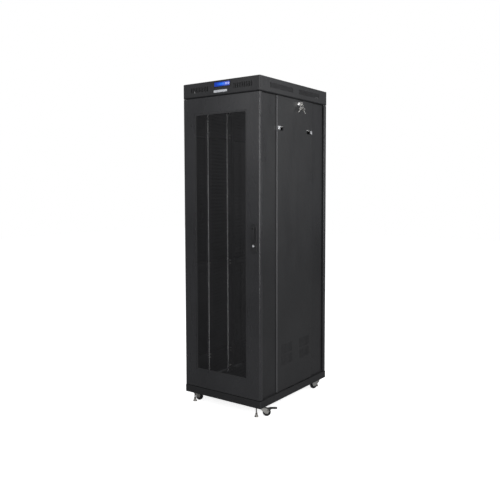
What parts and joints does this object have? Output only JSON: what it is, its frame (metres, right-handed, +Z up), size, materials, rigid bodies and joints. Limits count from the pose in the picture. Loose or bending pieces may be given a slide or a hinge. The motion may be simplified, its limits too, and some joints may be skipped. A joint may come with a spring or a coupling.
{
  "type": "network server rack cabinet",
  "caption": "Free-standing 19 inch rack cabinet with perforated front and rear doors, tilting side panels, vented roof with a lit display, casters and levelling feet.",
  "frame": {"origin": "centre of the footprint, on the floor", "axes": "+X to the cabinet's right, +Y to its rear, +Z up; the front door faces -Y"},
  "size_m": [0.6649, 0.8207, 2.0525],
  "materials": {
    "black_coat_base": "fine textured black powder coat",
    "black_coat_frame": "fine textured black powder coat",
    "black_coat_roof": "fine textured black powder coat",
    "black_coat_door": "fine textured black powder coat",
    "perforated_steel": "perforated sheet in black powder coat",
    "black_coat_panel": "semi-gloss black powder coat",
    "rail_steel": "black powder coat, slightly worn at the hole edges",
    "display_housing": "gloss black moulded",
    "display_screen": "backlit blue display",
    "badge_silver": "brushed",
    "fan_plastic": "matte moulded",
    "zinc": "bright zinc plate",
    "wheel_tread": "moulded",
    "pedal_plastic": "moulded",
    "handle_plastic": "fine moulded grain",
    "lock_chrome": "polished",
    "latch_chrome": "polished",
    "key_nickel": "nickel plate, lightly scratched"
  },
  "bodies": {
    "cabinet": {"badge_plate": "badge_silver", "base_frame": "black_coat_base", "cable_entry_covers": "black_coat_frame", "caster_plates": "zinc", "corner_post_front_left": "black_coat_frame", "corner_post_front_right": "black_coat_frame", "corner_post_rear_left": "black_coat_frame", "corner_post_rear_right": "black_coat_frame", "depth_bars": "black_coat_frame", "display_bezel": "display_housing", "display_window": "display_screen", "door_hinge_pins": "zinc", "fan_frame": "fan_plastic", "floor_panel": "black_coat_frame", "foot_lock_nuts": "zinc", "frame_bolts": "zinc", "mounting_rail_front_left": "rail_steel", "mounting_rail_front_right": "rail_steel", "mounting_rail_rear_left": "rail_steel", "mounting_rail_rear_right": "rail_steel", "roof_cap": "black_coat_roof", "top_frame": "black_coat_frame"},
    "front_door": {"front_door_frame": "black_coat_door", "front_door_mesh": "perforated_steel", "handle_base": "handle_plastic"},
    "handle_spindle": {"handle_boss": "zinc", "handle_cam": "zinc"},
    "handle_lever": {"handle_lever": "handle_plastic"},
    "handle_lock": {"handle_lock_plug": "lock_chrome"},
    "rear_door": {"rear_door_frame": "black_coat_door", "rear_door_mesh": "perforated_steel", "rear_lock_body": "lock_chrome"},
    "rear_lock": {"rear_lock_cam": "lock_chrome"},
    "side_panel_left": {"side_panel_left": "black_coat_panel", "side_lock_body_left": "lock_chrome"},
    "side_lock_left": {"side_lock_plug_left": "lock_chrome"},
    "slide_latch_front_left": {"slide_latch_front_left": "latch_chrome"},
    "slide_latch_rear_left": {"slide_latch_rear_left": "latch_chrome"},
    "side_panel_right": {"side_panel_right": "black_coat_panel", "side_lock_body_right": "lock_chrome"},
    "side_lock_right": {"side_lock_plug_right": "lock_chrome", "key_in_lock": "key_nickel"},
    "slide_latch_front_right": {"slide_latch_front_right": "latch_chrome"},
    "slide_latch_rear_right": {"slide_latch_rear_right": "latch_chrome"},
    "spare_keys": {"spare_keys": "key_nickel"},
    "fan_impeller": {"fan_impeller": "fan_plastic"},
    "caster_fork_front_right": {"caster_fork_front_right": "zinc"},
    "caster_wheel_front_right": {"caster_wheel_front_right": "wheel_tread"},
    "caster_brake_front_right": {"caster_brake_front_right": "pedal_plastic"},
    "levelling_foot_front_right": {"levelling_foot_front_right": "zinc"},
    "caster_fork_front_left": {"caster_fork_front_left": "zinc"},
    "caster_wheel_front_left": {"caster_wheel_front_left": "wheel_tread"},
    "caster_brake_front_left": {"caster_brake_front_left": "pedal_plastic"},
    "levelling_foot_front_left": {"levelling_foot_front_left": "zinc"},
    "caster_fork_rear_right": {"caster_fork_rear_right": "zinc"},
    "caster_wheel_rear_right": {"caster_wheel_rear_right": "wheel_tread"},
    "levelling_foot_rear_right": {"levelling_foot_rear_right": "zinc"},
    "caster_fork_rear_left": {"caster_fork_rear_left": "zinc"},
    "caster_wheel_rear_left": {"caster_wheel_rear_left": "wheel_tread"},
    "levelling_foot_rear_left": {"levelling_foot_rear_left": "zinc"}
  },
  "joints": [
    {"name": "front_door_swing", "type": "hinge", "parent": "cabinet", "child": "front_door", "pos_m": [-0.284, -0.388, 0.115], "axis": [0, 0, -1], "range_deg": [0, 135]},
    {"name": "handle_turn", "type": "hinge", "parent": "front_door", "child": "handle_spindle", "pos_m": [0.256, -0.4, 1.157], "axis": [0, 1, 0], "range_deg": [0, 90]},
    {"name": "handle_lift", "type": "hinge", "parent": "handle_spindle", "child": "handle_lever", "pos_m": [0.256, -0.4119, 1.157], "axis": [-1, 0, 0], "range_deg": [0, 40]},
    {"name": "handle_key_turn", "type": "hinge", "parent": "front_door", "child": "handle_lock", "pos_m": [0.256, -0.4, 1.048], "axis": [0, 1, 0], "range_deg": [0, 90]},
    {"name": "rear_door_swing", "type": "hinge", "parent": "cabinet", "child": "rear_door", "pos_m": [0.284, 0.388, 0.115], "axis": [0, 0, -1], "range_deg": [0, 135]},
    {"name": "rear_lock_turn", "type": "hinge", "parent": "rear_door", "child": "rear_lock", "pos_m": [-0.256, 0.4, 1.03], "axis": [0, -1, 0], "range_deg": [0, 90]},
    {"name": "side_panel_tilt_left", "type": "hinge", "parent": "cabinet", "child": "side_panel_left", "pos_m": [-0.292, 0, 0.119], "axis": [0, -1, 0], "range_deg": [0, 12]},
    {"name": "side_lock_turn_left", "type": "hinge", "parent": "side_panel_left", "child": "side_lock_left", "pos_m": [-0.294, 0.04, 1.93], "axis": [1, 0, 0], "range_deg": [0, 90]},
    {"name": "latch_slide_front_left", "type": "slide", "parent": "side_panel_left", "child": "slide_latch_front_left", "axis": [0, -1, 0], "range_m": [0, 0.007]},
    {"name": "latch_slide_rear_left", "type": "slide", "parent": "side_panel_left", "child": "slide_latch_rear_left", "axis": [0, 1, 0], "range_m": [0, 0.007]},
    {"name": "side_panel_tilt_right", "type": "hinge", "parent": "cabinet", "child": "side_panel_right", "pos_m": [0.292, 0, 0.119], "axis": [0, 1, 0], "range_deg": [0, 12]},
    {"name": "side_lock_turn_right", "type": "hinge", "parent": "side_panel_right", "child": "side_lock_right", "pos_m": [0.294, 0.04, 1.93], "axis": [1, 0, 0], "range_deg": [0, 90]},
    {"name": "latch_slide_front_right", "type": "slide", "parent": "side_panel_right", "child": "slide_latch_front_right", "axis": [0, -1, 0], "range_m": [0, 0.007]},
    {"name": "latch_slide_rear_right", "type": "slide", "parent": "side_panel_right", "child": "slide_latch_rear_right", "axis": [0, 1, 0], "range_m": [0, 0.007]},
    {"name": "key_ring_swing", "type": "hinge", "parent": "side_lock_right", "child": "spare_keys", "pos_m": [0.3182, 0.04, 1.93], "axis": [0, -1, 0], "range_deg": [-12, 60]},
    {"name": "fan_spin", "type": "hinge", "parent": "cabinet", "child": "fan_impeller", "pos_m": [0, 0, 2.03], "axis": [0, 0, 1], "continuous": true},
    {"name": "caster_swivel_front_right", "type": "hinge", "parent": "cabinet", "child": "caster_fork_front_right", "pos_m": [0.267, -0.334, 0.062], "axis": [0, 0, 1], "range_deg": [-107, 149]},
    {"name": "wheel_roll_front_right", "type": "hinge", "parent": "caster_fork_front_right", "child": "caster_wheel_front_right", "pos_m": [0.28906, -0.31676, 0.025], "axis": [-0.6157, 0.788, 0], "continuous": true},
    {"name": "brake_press_front_right", "type": "hinge", "parent": "caster_fork_front_right", "child": "caster_brake_front_right", "pos_m": [0.29694, -0.31061, 0.04], "axis": [-0.6157, 0.788, 0], "range_deg": [0, 12]},
    {"name": "foot_screw_front_right", "type": "slide", "parent": "cabinet", "child": "levelling_foot_front_right", "axis": [0, 0, 1], "range_m": [-0.02, 0.015]},
    {"name": "caster_swivel_front_left", "type": "hinge", "parent": "cabinet", "child": "caster_fork_front_left", "pos_m": [-0.267, -0.334, 0.062], "axis": [0, 0, 1], "range_deg": [-12, 150]},
    {"name": "wheel_roll_front_left", "type": "hinge", "parent": "caster_fork_front_left", "child": "caster_wheel_front_left", "pos_m": [-0.23911, -0.33156, 0.025], "axis": [-0.0872, 0.9962, 0], "continuous": true},
    {"name": "brake_press_front_left", "type": "hinge", "parent": "caster_fork_front_left", "child": "caster_brake_front_left", "pos_m": [-0.22914, -0.33069, 0.04], "axis": [-0.0872, 0.9962, 0], "range_deg": [0, 12]},
    {"name": "foot_screw_front_left", "type": "slide", "parent": "cabinet", "child": "levelling_foot_front_left", "axis": [0, 0, 1], "range_m": [-0.02, 0.015]},
    {"name": "caster_swivel_rear_right", "type": "hinge", "parent": "cabinet", "child": "caster_fork_rear_right", "pos_m": [0.267, 0.334, 0.062], "axis": [0, 0, 1], "range_deg": [-72, 150]},
    {"name": "wheel_roll_rear_right", "type": "hinge", "parent": "caster_fork_rear_right", "child": "caster_wheel_rear_right", "pos_m": [0.25517, 0.30862, 0.025], "axis": [0.9063, -0.4226, 0], "continuous": true},
    {"name": "foot_screw_rear_right", "type": "slide", "parent": "cabinet", "child": "levelling_foot_rear_right", "axis": [0, 0, 1], "range_m": [-0.02, 0.015]},
    {"name": "caster_swivel_rear_left", "type": "hinge", "parent": "cabinet", "child": "caster_fork_rear_left", "pos_m": [-0.267, 0.334, 0.062], "axis": [0, 0, 1], "range_deg": [-94, 150]},
    {"name": "wheel_roll_rear_left", "type": "hinge", "parent": "caster_fork_rear_left", "child": "caster_wheel_rear_left", "pos_m": [-0.29238, 0.32217, 0.025], "axis": [0.4226, -0.9063, 0], "continuous": true},
    {"name": "foot_screw_rear_left", "type": "slide", "parent": "cabinet", "child": "levelling_foot_rear_left", "axis": [0, 0, 1], "range_m": [-0.02, 0.015]}
  ]
}
